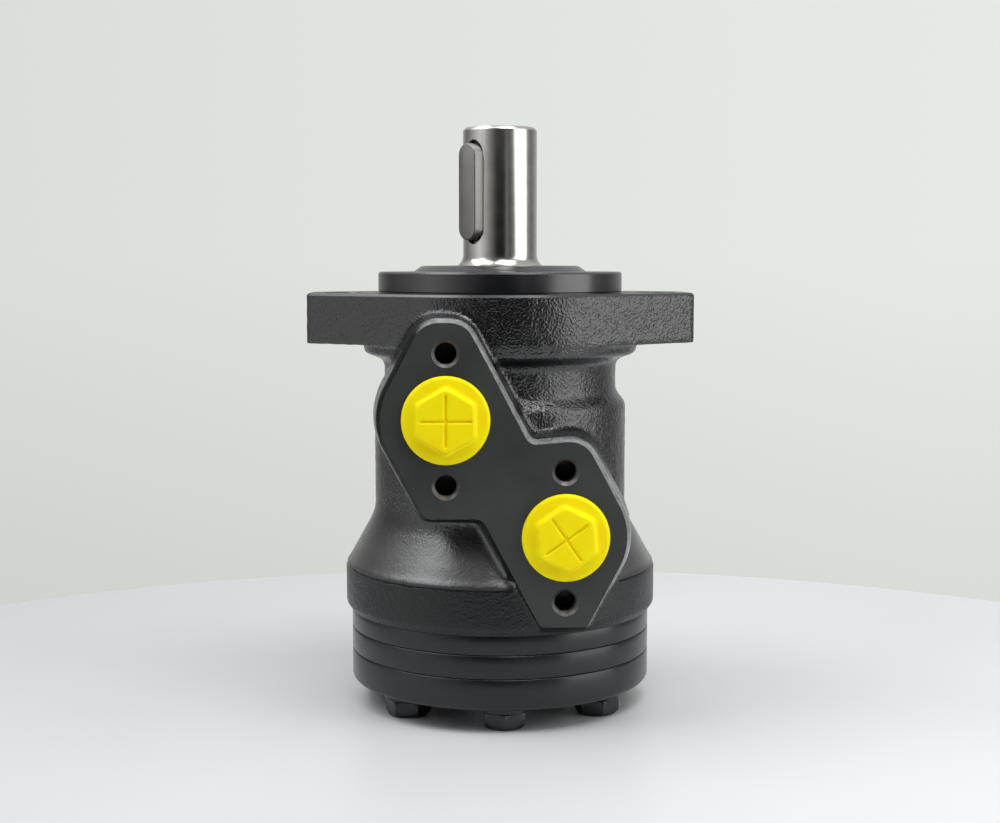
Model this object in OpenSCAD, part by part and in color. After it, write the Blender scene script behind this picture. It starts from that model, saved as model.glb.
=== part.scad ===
// Orbital hydraulic motor with a two-bolt flange, side ports and a keyed shaft.
// Origin: centre of the flange's mounting face. +Z runs along the shaft, away
// from the body, and the port pad faces -Y. All sizes are in millimetres.

/* [Shaft] */
// Diameter of the keyed shaft end
shaft_d = 25; // [24:0.5:26]
// Height of the shaft's tip above the mounting face
shaft_tip = 55.2; // [54:0.2:58]
// Diameter of the shaft where the seals run
seal_d = 28.56; // [28.2:0.02:28.8]
// Length of the round-ended key
key_len = 32; // [28:0.5:33]
// Width of the key and of its keyway
key_w = 8; // [7:0.5:8]
// Height by which the key stands above the shaft
key_proud = 3; // [2.5:0.1:3.3]
// Direction of the key, measured round +Z from +X
key_angle = -138; // [-180:1:180]

/* [Flange and pilot] */
// Length of the flange over its two flat ends
flange_len = 130; // [128:0.5:134]
// Thickness of the flange
flange_th = 16.8; // [15:0.1:17.2]
// Width of each flat flange end
flange_end_w = 28; // [26:0.5:32]
// Radius of the flange's round middle
flange_mid_r = 47; // [46:0.2:48]
// Distance between the two flange bolt holes
bolt_gap = 106.4; // [104:0.2:108]
// Diameter of the flange bolt holes
bolt_hole_d = 13.5; // [12:0.5:14]
// Diameter of the pilot that centres the motor
pilot_d = 82.5; // [80:0.1:83]
// Height of the pilot
pilot_h = 7; // [6:0.1:7.5]
// Height of the bevelled boss on top of the pilot
boss_h = 2; // [1.5:0.1:2.2]

/* [Body] */
// Radius of the neck under the flange
neck_r = 39.5; // [39:0.1:40]
// Radius of the body between neck and cone
body_r = 42.9; // [42:0.1:43.5]
// Radius of the bulge above the rings
bulge_r = 53; // [52.2:0.1:53.5]
// Length of the housing below the mounting face
house_len = 107; // [106.6:0.1:107.6]

/* [Ports] */
// Distance of the port face from the shaft axis
port_face = 53.6; // [53.4:0.1:54]
// Sideways offset of each port from the shaft axis
port_x = 18.65; // [18:0.05:19.2]
// Height of the upper port, below the mounting face
port_a_z = -38.3; // [-39:0.1:-38]
// Height of the lower port, below the mounting face
port_b_z = -75.1; // [-75.6:0.1:-74.6]
// Distance between the two tapped holes beside each port
pad_hole_gap = 41.2; // [40.6:0.1:41.6]
// Core diameter of the tapped holes in the pad
pad_hole_d = 6.8; // [6.6:0.1:7]
// Radius of the pad round each port
pad_r = 20.2; // [19.8:0.1:20.5]
// Radius of the pad round each tapped hole
pad_tip_r = 10.4; // [10:0.1:10.6]

/* [Gear set] */
// Eccentricity of the rotor
ecc = 2.8; // [2.6:0.05:2.8]
// Radius of the circle on which the rollers sit
pin_r = 34.4; // [34.2:0.05:34.5]
// Radius of each roller
roller_r = 6; // [5.9:0.05:6]
// Gap between rotor and rollers
mesh_gap = 0.05; // [0.03:0.01:0.08]
// Outer radius of the plate, gear ring and cover
ring_r = 50.9; // [50.4:0.1:51.2]
// Thickness of the distributor plate
plate_h = 6.4; // [6.2:0.1:6.8]
// Thickness of the gear ring
gear_h = 7.7; // [7.7:0.1:8.5]
// Thickness of the end cover
cover_h = 10.4; // [10:0.1:12]

/* [Screws and plugs] */
// Radius of the circle of the end screws
screw_pcr = 40; // [39.8:0.1:40.2]
// Width across flats of the screw heads
screw_af = 13; // [12:0.5:13]
// Diameter of the flange of each plastic plug
plug_d = 27.6; // [26.5:0.1:28]
// Width across flats of the hexagon on each plastic plug
plug_af = 18.6; // [17:0.1:19]

/* [Hidden] */
$fn = 96;

// colours
c_paint = [0.10, 0.10, 0.11];
c_ring = [0.16, 0.17, 0.18];
c_steel = [0.72, 0.71, 0.69];
c_dark = [0.30, 0.30, 0.31];
c_rubber = [0.07, 0.07, 0.07];
c_yellow = [0.98, 0.86, 0.02];

// heights of the joint faces below the mounting face
z_house = -house_len;
z_plate = z_house - plate_h;
z_gear = z_plate - gear_h;
z_cover = z_gear - cover_h;
washer_h = 2;
head_h = 5.5;
z_foot = z_cover - washer_h - head_h;

// spool
spool_r = 22;
bore_r = 22.03;
z_spool_top = -12.04;
z_spool_end = z_house + 0.5;
groove_r = 19;
gallery_r = 26;
gallery_h = 10;
z_window = (port_a_z + port_b_z) / 2;
channel_r = 31;
channel_hole = 2.4;
boss_r = 29.15;

// angles: a screw and a channel face the port side, rollers lie between them
a_screw = -90;
a_step = 360 / 7;
a_roller = a_screw + a_step / 2;

// splines
sp_slot_w = 3.3;
sp_root = 13.6;
sp_minor = 11.2;
z_sp1 = -52;
z_sp2 = (z_plate + z_gear) / 2 + 0.65;
cardan_l = z_sp1 - z_sp2;
tilt = atan2(ecc, cardan_l);

// check valves
check_r = 31;
a_check_a = a_roller + 4 * a_step;
a_check_b = a_roller + 2 * a_step;
z_seat = -91.5;
ball_r = 2.4;
z_ball = z_seat - 1.97;

// drain port on the back
drain_z = -30;
drain_face = 46;

// ---------------------------------------------------------------- helpers

function arc(cx, cy, r, a0, a1, n) =
    [for (i = [0:n]) let (a = a0 + (a1 - a0) * i / n) [cx + r * cos(a), cy + r * sin(a)]];

function bez(p0, p1, p2, n) =
    [for (i = [0:n]) let (t = i / n) (1 - t) * (1 - t) * p0 + 2 * t * (1 - t) * p1 + t * t * p2];

module at_polar(r, a, z = 0) {
    translate([r * cos(a), r * sin(a), z]) rotate([0, 0, a]) children();
}

// a disc with both rims chamfered
module disc(r, h, c_top, c_bot) {
    rotate_extrude($fn = 180)
        polygon([[0, 0], [r - c_bot, 0], [r, c_bot], [r, h - c_top], [r - c_top, h], [0, h]]);
}

// a plain ring
module ring(r_out, r_in, h) {
    difference() {
        cylinder(r = r_out, h = h);
        translate([0, 0, -1]) cylinder(r = r_in, h = h + 2);
    }
}

// hole drilled into a face that looks along -Y, mouth at y = 0
module front_hole(r, depth, cham) {
    rotate([90, 0, 0]) translate([0, 0, -depth]) cylinder(r = r, h = depth + 1, $fn = 48);
    rotate([90, 0, 0]) translate([0, 0, -cham])
        cylinder(r1 = r, r2 = r + cham + 0.5, h = cham + 0.5, $fn = 48);
}

// ---------------------------------------------------------------- housing

// outline of the revolved body, from the axis down to the gear-set face
function body_outline() = concat(
    [[0, pilot_h + boss_h], [boss_r - 2.6, pilot_h + boss_h]],
    [[boss_r, pilot_h], [pilot_d / 2 - 0.5, pilot_h], [pilot_d / 2, pilot_h - 0.5],
     [pilot_d / 2, -flange_th / 2], [46.5, -flange_th / 2]],
    arc(44.3, -flange_th - 1.8, 2.2, 0, -90, 5),
    arc(neck_r + 3.1, -flange_th - 7.9, 3.1, 98, 180, 6),
    [for (i = [0:8]) [neck_r + (body_r - neck_r) * (1 - cos(22.5 * i)) / 2, -31.8 - 0.8 * i]],
    bez([body_r, -70.8], [body_r, -74], [body_r + 1.7, -77.2], 5),
    bez([bulge_r - 1.7, -89.6], [bulge_r - 0.3, -92.2], [bulge_r - 0.5, -93], 4),
    [[bulge_r - 0.5, -93.3], [bulge_r, -93.9], [bulge_r, -house_len + 2],
     [bulge_r - 1.6, -house_len], [0, -house_len]]);

// flange: a round middle with tangents to the rounded corners of two flat ends;
// grow moves the whole outline outwards
function flange_points(grow = 0) =
    let (rc = 3.5, px = flange_len / 2 - rc, py = flange_end_w / 2 - rc,
         r = flange_mid_r + grow, q = rc + grow,
         an = atan2(py, px) + acos((r - q) / norm([px, py])))
    concat(arc(px, py, q, 0, an, 8), arc(0, 0, r, an, 180 - an, 24),
           arc(-px, py, q, 180 - an, 180, 8), arc(-px, -py, q, 180, 360 - (180 - an), 8),
           arc(0, 0, r, 180 + an, 360 - an, 24), arc(px, -py, q, 360 - an, 360, 8));

// one lobe of the port pad, round a port and its two tapped holes
module pad_lobe() {
    t = asin((pad_r - pad_tip_r) / (pad_hole_gap / 2));
    circle(r = pad_r, $fn = 120);
    for (s = [-1, 1]) translate([0, s * pad_hole_gap / 2]) circle(r = pad_tip_r, $fn = 72);
    for (s = [-1, 1])
        polygon([pad_r * [cos(t), s * sin(t)],
                 [pad_tip_r * cos(t), s * (pad_hole_gap / 2 + pad_tip_r * sin(t))],
                 [-pad_tip_r * cos(t), s * (pad_hole_gap / 2 + pad_tip_r * sin(t))],
                 [-pad_r * cos(t), s * pad_r * sin(t)], [0, 0]]);
}

// the strip that joins the two lobes: it runs along the outer tangent of each
// lobe and ends level with the other lobe's tip
module pad_strip() {
    t = asin((pad_r - pad_tip_r) / (pad_hole_gap / 2));
    za = (port_a_z - port_b_z) / 2;
    z_top = pad_hole_gap / 2 + pad_tip_r - za;
    p1 = [-port_x + pad_r * cos(t), za + pad_r * sin(t)];
    p2 = [-port_x + (pad_r - (z_top - za) * sin(t)) / cos(t), z_top];
    p3 = [port_x, z_top];
    polygon([p1, p2, p3, -p1, -p2, -p3]);
}

module pad_outline() {
    dz = (port_b_z - port_a_z) / 2;
    z_mid = (port_b_z + port_a_z) / 2;
    intersection() {
        offset(r = -3, $fn = 40) offset(delta = 3) union() {
            translate([-port_x, -dz]) pad_lobe();
            translate([port_x, dz]) pad_lobe();
            pad_strip();
        }
        translate([-60, -103.6 - z_mid]) square([120, 120]);
    }
}

module port_pad() {
    z_mid = (port_b_z + port_a_z) / 2;
    k = 1.035;
    translate([0, -24, z_mid]) rotate([90, 0, 0])
        linear_extrude(height = port_face - 24, scale = 1 / k) scale(k) pad_outline();
}

// the round hollow: dust seal seat, seal bore, spool bore and the two galleries
function hollow_outline() = concat(
    [[0, 20], [20, 20], [20, 3.5], [16, 3.5], [16, 2], [19.5, 2], [19.5, -6], [bore_r, -6]],
    [for (z = [port_a_z, port_b_z]) each [[bore_r, z + gallery_h / 2], [gallery_r, z + gallery_h / 2],
                                          [gallery_r, z - gallery_h / 2], [bore_r, z - gallery_h / 2]]],
    [[bore_r, -house_len - 1], [0, -house_len - 1]]);

module housing_outside() {
    rotate_extrude($fn = 180) polygon(body_outline());
    // the flange, with a small chamfer round its upper edge
    translate([0, 0, -flange_th]) linear_extrude(flange_th - 0.8) polygon(flange_points());
    translate([0, 0, -1]) linear_extrude(1) polygon(flange_points(-0.7));
    port_pad();
    // boss of the drain port
    translate([0, 20, drain_z]) rotate([-90, 0, 0]) cylinder(r = 12, h = drain_face - 20, $fn = 72);
}

// ports, their tapped holes and the passages to the galleries
module port_holes() {
    for (p = [[-1, port_a_z], [1, port_b_z]]) {
        translate([p[0] * port_x, -port_face, p[1]]) {
            front_hole(9.32, 15, 1.2);
            for (s = [-1, 1]) translate([0, 0, s * pad_hole_gap / 2]) front_hole(pad_hole_d / 2, 13, 0.8);
        }
        translate([p[0] * port_x, -port_face + 14, p[1]]) rotate([-90, 0, p[0] * 33])
            cylinder(r = 4.4, h = 18.5, $fn = 48);
    }
}

// windows and channels that lead to the gear set
module channels() {
    for (k = [0:6]) rotate([0, 0, a_screw + k * a_step]) {
        translate([bore_r - 1, 0, z_window]) rotate([0, 90, 0])
            cylinder(r = 1.9, h = channel_r - bore_r + 1.5, $fn = 24);
        translate([channel_r, 0, z_house - 1]) cylinder(r = channel_hole, h = z_window + 3.2 - z_house, $fn = 24);
    }
}

// tapped holes for the end screws
module end_holes() {
    for (k = [0:6]) at_polar(screw_pcr, a_screw + k * a_step, z_house - 1) cylinder(r = 4.02, h = 18, $fn = 36);
}

// bore of a check valve, its passage to a gallery and its outlet slot
module check_passage(a, z_gal) {
    rotate([0, 0, a]) {
        translate([check_r, 0, z_house - 1]) cylinder(r = 3.1, h = z_seat + 3 - z_house + 1, $fn = 36);
        translate([check_r, 0, z_seat]) cylinder(r = 1.4, h = z_gal + 1.4 - z_seat, $fn = 24);
        translate([gallery_r - 1.5, 0, z_gal]) rotate([0, 90, 0]) cylinder(r = 1.1, h = check_r - gallery_r + 1.5, $fn = 24);
        translate([bore_r - 1, -1, z_house - 1]) cube([check_r - bore_r + 1, 2, 2]);
    }
}

module drain_holes() {
    translate([0, drain_face, drain_z]) rotate([-90, 0, 0]) {
        translate([0, 0, -12]) cylinder(r = 5.75, h = 14, $fn = 48);
        translate([0, 0, -0.8]) cylinder(r1 = 5.75, r2 = 7, h = 1.2, $fn = 48);
    }
    translate([0, 35, drain_z]) rotate([50, 0, 0]) cylinder(r = 2, h = 19, $fn = 24);
}

module seal_groove() {
    translate([0, 0, z_house - 1]) difference() {
        cylinder(r = 48.2, h = 2.3, $fn = 144);
        translate([0, 0, -1]) cylinder(r = 46.2, h = 5, $fn = 144);
    }
}

module flange_holes() {
    for (s = [-1, 1]) translate([s * bolt_gap / 2, 0, -flange_th - 5])
        cylinder(d = bolt_hole_d, h = flange_th + 10, $fn = 72);
}

// the machining cuts, one after the other
module housing() {
    color(c_paint) difference() {
        difference() {
            difference() {
                difference() {
                    difference() {
                        housing_outside();
                        rotate_extrude($fn = 144) polygon(hollow_outline());
                    }
                    seal_groove();
                    flange_holes();
                    end_holes();
                }
                port_holes();
            }
            channels();
        }
        check_passage(a_check_a, port_a_z);
        check_passage(a_check_b, port_b_z);
        drain_holes();
    }
}

// ---------------------------------------------------------------- seals and thrust bearing

module dust_seal() {
    color(c_rubber) rotate_extrude($fn = 96) polygon([
        [20, 4.2], [20, 8.2], [19.2, 8.6], [18, 8.2], [17.2, 7.4], [16, 7.6], [seal_d / 2 + 0.5, 8.8],
        [seal_d / 2 + 0.05, 8.7], [seal_d / 2 + 0.05, 8.2], [seal_d / 2 + 0.9, 6.6], [16.2, 4.2]]);
}

module shaft_seal() {
    color(c_rubber) rotate_extrude($fn = 96) polygon([
        [19.5, -4.4], [19.5, 2], [15.4, 2], [15.2, 1.2], [17.4, 0.4], [17.6, -1.6], [seal_d / 2 + 0.6, -2.6],
        [seal_d / 2 + 0.05, -3.3], [seal_d / 2 + 0.05, -3.6], [seal_d / 2 + 0.7, -4.4]]);
}

module seal_backup_ring() {
    color(c_steel) translate([0, 0, -6]) ring(19.5, 15, 1.6);
}

module bearing_race() {
    color(c_steel) translate([0, 0, -9]) ring(21.9, 15, 3);
}

module needle_cage() {
    color(c_steel) difference() {
        translate([0, 0, -11.5]) ring(21.6, 15, 1.9);
        for (k = [0:17]) rotate([0, 0, 20 * k + 10]) translate([18.3, 0, -10.5]) cube([4.6, 3.1, 4], center = true);
    }
}

module thrust_needles() {
    color(c_steel) for (k = [0:17]) rotate([0, 0, 20 * k + 10])
        translate([16.05, 0, -10.52]) rotate([0, 90, 0]) cylinder(r = 1.5, h = 4.5, $fn = 24);
}

// ---------------------------------------------------------------- shaft and spool

module keyway(l, w, d0, d1) {
    // round-ended slot from radius d0 to radius d1, standing on the key's direction
    rotate([0, 0, key_angle]) translate([d0, 0, 33.5]) rotate([0, 90, 0]) {
        for (s = [-1, 1]) translate([s * (l / 2 - w / 2), 0, 0]) cylinder(d = w, h = d1 - d0, $fn = 36);
        translate([-(l / 2 - w / 2), -w / 2, 0]) cube([l - w, w, d1 - d0]);
    }
}

function shaft_outline() = concat(
    [[0, shaft_tip], [shaft_d / 2 - 1, shaft_tip], [shaft_d / 2, shaft_tip - 1]],
    bez([shaft_d / 2, 12.6], [shaft_d / 2 + 0.2, 10.6], [seal_d / 2, 9.1], 5),
    [[seal_d / 2, z_spool_top], [21, z_spool_top], [21, -15], [groove_r, -15.5], [groove_r, -25],
     [spool_r, -25.5],
     [spool_r, port_a_z + gallery_h / 2], [groove_r, port_a_z + gallery_h / 2],
     [groove_r, port_a_z - gallery_h / 2], [spool_r, port_a_z - gallery_h / 2],
     [spool_r, port_b_z + gallery_h / 2], [groove_r, port_b_z + gallery_h / 2],
     [groove_r, port_b_z - gallery_h / 2], [spool_r, port_b_z - gallery_h / 2],
     [spool_r, z_spool_end + 0.6], [spool_r - 0.6, z_spool_end], [0, z_spool_end]]);

module spline_slots(z0, z1) {
    translate([0, 0, z0]) {
        cylinder(r = sp_minor, h = z1 - z0, $fn = 72);
        for (k = [0:11]) rotate([0, 0, 30 * k]) translate([0, -sp_slot_w / 2, 0]) cube([sp_root, sp_slot_w, z1 - z0]);
    }
}

module output_shaft() {
    color(c_steel) difference() {
        rotate_extrude($fn = 144) polygon(shaft_outline());
        // keyway
        keyway(key_len + 2, key_w, shaft_d / 2 - 4, shaft_d);
        // centre thread in the shaft end
        translate([0, 0, shaft_tip - 18]) cylinder(r = 3.4, h = 20, $fn = 36);
        translate([0, 0, shaft_tip - 1.8]) cylinder(r1 = 3.4, r2 = 5.4, h = 2, $fn = 36);
        // slots of the valve spool
        for (k = [0:5]) rotate([0, 0, 60 * k]) {
            translate([groove_r, -2.25, port_a_z - gallery_h / 2 - 21]) cube([6, 4.5, 22]);
            rotate([0, 0, 30]) translate([groove_r, -2.25, port_b_z + gallery_h / 2 - 1]) cube([6, 4.5, 22]);
        }
        // hollow for the cardan shaft
        translate([0, 0, z_spool_end - 1]) cylinder(r = sp_root, h = -62 - z_spool_end + 1, $fn = 72);
        rotate([0, 0, a_roller]) spline_slots(-62.5, -42);
        translate([0, 0, -42.5]) cylinder(r = sp_root, h = 4.5, $fn = 72);
        translate([0, 0, -39]) cylinder(r = 3, h = 20, $fn = 24);
        translate([-25, 0, -20]) rotate([0, 90, 0]) cylinder(r = 2, h = 50, $fn = 24);
    }
}

module parallel_key() {
    color(c_dark) rotate([0, 0, key_angle]) translate([shaft_d / 2 - 4, 0, 33.5]) rotate([0, 90, 0]) {
        for (s = [-1, 1]) translate([s * (key_len / 2 - key_w / 2), 0, 0]) {
            cylinder(d = key_w, h = 3.6 + key_proud, $fn = 36);
            translate([0, 0, 3.6 + key_proud]) cylinder(d1 = key_w, d2 = key_w - 0.8, h = 0.4, $fn = 36);
        }
        translate([-(key_len - key_w) / 2, 0, 0]) rotate([90, 0, 90]) linear_extrude(key_len - key_w)
            polygon([[-key_w / 2, 0], [key_w / 2, 0], [key_w / 2, 3.6 + key_proud], [key_w / 2 - 0.4, 4 + key_proud],
                     [-key_w / 2 + 0.4, 4 + key_proud], [-key_w / 2, 3.6 + key_proud]]);
    }
}

// ---------------------------------------------------------------- cardan and gear set

// crowned spline head of half length hl, centred on its own origin
module crowned_head(hl) {
    c = hl * sin(tilt) + 0.06;
    w = sp_slot_w / 2 - 0.12;
    rb = sp_minor - 0.1 - c;
    rt = sp_root - 0.2;
    intersection() {
        union() {
            cylinder(r = rb, h = 2 * hl, center = true, $fn = 72);
            for (k = [0:11]) rotate([0, 0, 30 * k]) translate([5, 0, 0]) rotate([0, 90, 0]) linear_extrude(rt - 5)
                polygon([[-hl, -w + c], [-hl / 2, -w + c / 3], [0, -w], [hl / 2, -w + c / 3], [hl, -w + c],
                         [hl, w - c], [hl / 2, w - c / 3], [0, w], [-hl / 2, w - c / 3], [-hl, w - c]]);
        }
        rotate_extrude($fn = 72) polygon([[0, -hl], [rt - c, -hl], [rt - c / 3, -hl / 2], [rt, 0],
                                          [rt - c / 3, hl / 2], [rt - c, hl], [0, hl]]);
    }
}

module cardan_shaft() {
    color(c_steel) translate([0, 0, z_sp1]) rotate([0, 0, a_roller]) rotate([0, -tilt, 0]) {
        difference() {
            union() {
                crowned_head(8);
                translate([0, 0, -cardan_l / cos(tilt)]) crowned_head(3);
                rotate_extrude($fn = 72) polygon([[0, -6], [10.2, -6], [9, -11],
                    [9, -cardan_l + 7], [10.2, -cardan_l + 2.5], [0, -cardan_l + 2.5]]);
            }
            translate([0, 0, 3]) cylinder(r1 = 2, r2 = 4, h = 6, $fn = 24);
        }
    }
}

module cardan_spacer() {
    color(c_dark) rotate([0, 0, a_roller]) translate([ecc, 0, z_gear - 2.5]) difference() {
        disc(sp_minor - 0.08, 3.2, 0.4, 0.4);
        translate([0, 0, 2.4]) cylinder(r = 3, h = 2, $fn = 24);
    }
}

// outline of the rotor: the curve that stays tangent to all seven rollers
function rotor_outline(n) = [for (i = [0:n - 1])
    let (f = 360 * i / n, rr = roller_r + mesh_gap,
         p = atan2(sin(-6 * f), pin_r / (7 * ecc) - cos(-6 * f)))
    [pin_r * cos(f) - rr * cos(f + p) - ecc * cos(7 * f),
     -pin_r * sin(f) + rr * sin(f + p) + ecc * sin(7 * f)]];

module rotor() {
    color(c_steel) rotate([0, 0, a_roller]) translate([ecc, 0, z_gear + 0.02]) difference() {
        linear_extrude(gear_h - 0.04) polygon(rotor_outline(216));
        translate([0, 0, -z_gear - 0.02]) spline_slots(z_gear - 1, z_plate + 1);
    }
}

module roller(k) {
    color(c_steel) at_polar(pin_r, a_roller + (k - 1) * a_step, z_gear + 0.03) cylinder(r = roller_r, h = gear_h - 0.06, $fn = 48);
}
module roller_1() { roller(1); }
module roller_2() { roller(2); }
module roller_3() { roller(3); }
module roller_4() { roller(4); }
module roller_5() { roller(5); }
module roller_6() { roller(6); }
module roller_7() { roller(7); }

module screw_holes(r, z, h) {
    for (k = [0:6]) at_polar(screw_pcr, a_screw + k * a_step, z) cylinder(r = r, h = h, $fn = 36);
}

module distributor_plate() {
    color(c_ring) difference() {
        translate([0, 0, z_plate]) disc(ring_r, plate_h, 0.35, 0.45);
        translate([0, 0, z_plate - 1]) cylinder(r = 17, h = plate_h + 2);
        screw_holes(4.25, z_plate - 1, plate_h + 2);
        for (k = [0:6]) at_polar(channel_r, a_screw + k * a_step, z_plate - 1) cylinder(r = channel_hole, h = plate_h + 2, $fn = 24);
        translate([0, 0, z_plate - 1]) difference() {
            cylinder(r = 48.2, h = 2.3, $fn = 144);
            translate([0, 0, -1]) cylinder(r = 46.2, h = 5, $fn = 144);
        }
    }
}

module gear_ring() {
    color(c_ring) difference() {
        translate([0, 0, z_gear]) disc(ring_r, gear_h, 0.45, 0.45);
        translate([0, 0, z_gear - 1]) cylinder(r = pin_r - roller_r + 2 * ecc + 0.15, h = gear_h + 2, $fn = 144);
        for (k = [0:6]) at_polar(pin_r, a_roller + k * a_step, z_gear - 1) cylinder(r = roller_r + 0.04, h = gear_h + 2, $fn = 48);
        screw_holes(4.25, z_gear - 1, gear_h + 2);
    }
}

module end_cover() {
    color(c_ring) difference() {
        translate([0, 0, z_cover]) disc(ring_r, cover_h, 0.45, 1.5);
        screw_holes(4.25, z_cover - 1, cover_h + 2);
        translate([0, 0, z_gear - 2.6]) cylinder(r = 14.6, h = 5);
        translate([0, 0, z_gear - 1.3]) difference() {
            cylinder(r = 48.2, h = 3, $fn = 144);
            translate([0, 0, -1]) cylinder(r = 46.2, h = 6, $fn = 144);
        }
    }
}

// ---------------------------------------------------------------- fasteners and face seals

module hex_screw(turn) {
    // head down, shank up, under-head face at z = 0
    af = screw_af;
    rotate([0, 0, turn]) intersection() {
        translate([0, 0, -head_h]) cylinder(d = af / cos(30), h = head_h, $fn = 6);
        translate([0, 0, -head_h]) cylinder(r1 = af / 2 - 0.3, r2 = af / 2 - 0.3 + 2 * head_h, h = head_h, $fn = 48);
    }
    cylinder(r = 4, h = 38.5, $fn = 36);
    translate([0, 0, 38.5]) cylinder(r1 = 4, r2 = 3, h = 1, $fn = 36);
}

module end_screws() {
    color(c_dark) for (k = [0:6]) at_polar(screw_pcr, a_screw + k * a_step, z_cover - washer_h)
        hex_screw([0, 22, 11, 41, 5, 33, 17][k]);
}

module screw_washers() {
    color(c_dark) for (k = [0:6]) at_polar(screw_pcr, a_screw + k * a_step, z_cover - washer_h) ring(7.8, 4.25, washer_h);
}

module face_ring(z) {
    color(c_rubber) translate([0, 0, z]) rotate_extrude($fn = 144) translate([47.2, 0.65]) circle(r = 0.63, $fn = 24);
}
module o_ring_housing() { face_ring(z_house); }
module o_ring_plate() { face_ring(z_plate); }
module o_ring_cover() { face_ring(z_gear - 1.3); }

// ---------------------------------------------------------------- check valves

module check_seat(a) {
    color(c_steel) at_polar(check_r, a, z_seat) ring(3.1, 1.4, 3);
}
module check_ball(a) {
    color(c_steel) at_polar(check_r, a, z_ball) sphere(r = ball_r, $fn = 36);
}

// round wire wound on a cylinder of radius rc, from z = 0 up to z = h
module coil(rc, rw, h, turns, steps) {
    n = turns * steps;
    s = 8;
    pts = [for (i = [0:n]) let (a = 360 * i / steps, z = h * i / n)
           for (j = [0:s - 1]) let (b = 360 * j / s)
           [(rc + rw * cos(b)) * cos(a), (rc + rw * cos(b)) * sin(a), z + rw * sin(b)]];
    faces = concat(
        [[for (j = [0:s - 1]) j]],
        [for (i = [0:n - 1]) for (j = [0:s - 1])
            [i * s + j, (i + 1) * s + j, (i + 1) * s + (j + 1) % s, i * s + (j + 1) % s]],
        [[for (j = [0:s - 1]) n * s + s - 1 - j]]);
    polyhedron(points = pts, faces = faces, convexity = 8);
}

module check_spring(a) {
    color(c_steel) at_polar(check_r, a, z_house + 0.35) coil(1.9, 0.28, z_ball - ball_r - z_house - 0.75 + 0.9, 5, 12);
}
module check_seat_a() { check_seat(a_check_a); }
module check_seat_b() { check_seat(a_check_b); }
module check_ball_a() { check_ball(a_check_a); }
module check_ball_b() { check_ball(a_check_b); }
module check_spring_a() { check_spring(a_check_a); }
module check_spring_b() { check_spring(a_check_b); }

// ---------------------------------------------------------------- plugs

module drain_washer() {
    color(c_steel) translate([0, drain_face, drain_z]) rotate([-90, 0, 0]) ring(9.4, 6.8, 1.2);
}

module drain_plug() {
    color(c_dark) translate([0, drain_face, drain_z]) rotate([-90, 0, 0]) difference() {
        union() {
            translate([0, 0, -9.5]) cylinder(r = 5.65, h = 11, $fn = 48);
            translate([0, 0, 1.2]) rotate_extrude($fn = 72) polygon([[0, 0], [9, 0], [9, 3.2], [8.3, 3.9], [0, 3.9]]);
        }
        translate([0, 0, -2.5]) cylinder(d = 6 / cos(30), h = 10, $fn = 6);
    }
}

// yellow closing plug: thread, flange and a low hexagon with a cross-shaped slot
module port_plug(turn) {
    rotate([90, 0, 0]) rotate([0, 0, turn]) difference() {
        union() {
            translate([0, 0, -9]) cylinder(r = 9.2, h = 9, $fn = 72);
            rotate_extrude($fn = 96) polygon([[0, 0], [plug_d / 2, 0], [plug_d / 2, 1.6], [plug_d / 2 - 0.5, 2.1], [0, 2.1]]);
            rotate([0, 0, 30]) intersection() {
                cylinder(d = plug_af / cos(30), h = 4.6, $fn = 6);
                cylinder(r1 = plug_af / 2 + 5.3, r2 = plug_af / 2 + 0.7, h = 4.6, $fn = 72);
            }
        }
        for (r = [0, 90]) rotate([0, 0, r]) translate([-8, -0.5, 3.8]) cube([16, 1, 2]);
    }
}
module port_plug_a() { color(c_yellow) translate([-port_x, -port_face, port_a_z]) port_plug(0); }
module port_plug_b() { color(c_yellow) translate([port_x, -port_face, port_b_z]) port_plug(-55); }

housing();
dust_seal();
shaft_seal();
seal_backup_ring();
bearing_race();
needle_cage();
thrust_needles();
output_shaft();
parallel_key();
cardan_shaft();
cardan_spacer();
distributor_plate();
gear_ring();
rotor();
roller_1();
roller_2();
roller_3();
roller_4();
roller_5();
roller_6();
roller_7();
end_cover();
end_screws();
screw_washers();
o_ring_housing();
o_ring_plate();
o_ring_cover();
check_seat_a();
check_seat_b();
check_ball_a();
check_ball_b();
check_spring_a();
check_spring_b();
drain_plug();
drain_washer();
port_plug_a();
port_plug_b();
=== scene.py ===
import math

import bmesh
import bpy
import numpy as np
from mathutils import Matrix, Vector, noise


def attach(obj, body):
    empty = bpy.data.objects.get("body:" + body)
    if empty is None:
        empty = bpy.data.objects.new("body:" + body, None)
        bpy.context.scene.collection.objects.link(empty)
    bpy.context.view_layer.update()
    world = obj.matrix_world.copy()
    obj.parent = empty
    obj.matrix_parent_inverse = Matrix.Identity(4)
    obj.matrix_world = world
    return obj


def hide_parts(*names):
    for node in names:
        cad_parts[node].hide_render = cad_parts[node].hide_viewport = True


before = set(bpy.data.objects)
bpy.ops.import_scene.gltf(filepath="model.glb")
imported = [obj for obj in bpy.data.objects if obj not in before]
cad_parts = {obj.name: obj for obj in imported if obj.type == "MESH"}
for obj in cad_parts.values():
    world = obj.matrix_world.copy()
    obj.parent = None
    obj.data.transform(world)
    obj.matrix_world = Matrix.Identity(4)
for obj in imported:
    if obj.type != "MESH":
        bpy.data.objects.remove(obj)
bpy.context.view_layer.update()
scene = bpy.context.scene
MM = 0.001

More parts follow.
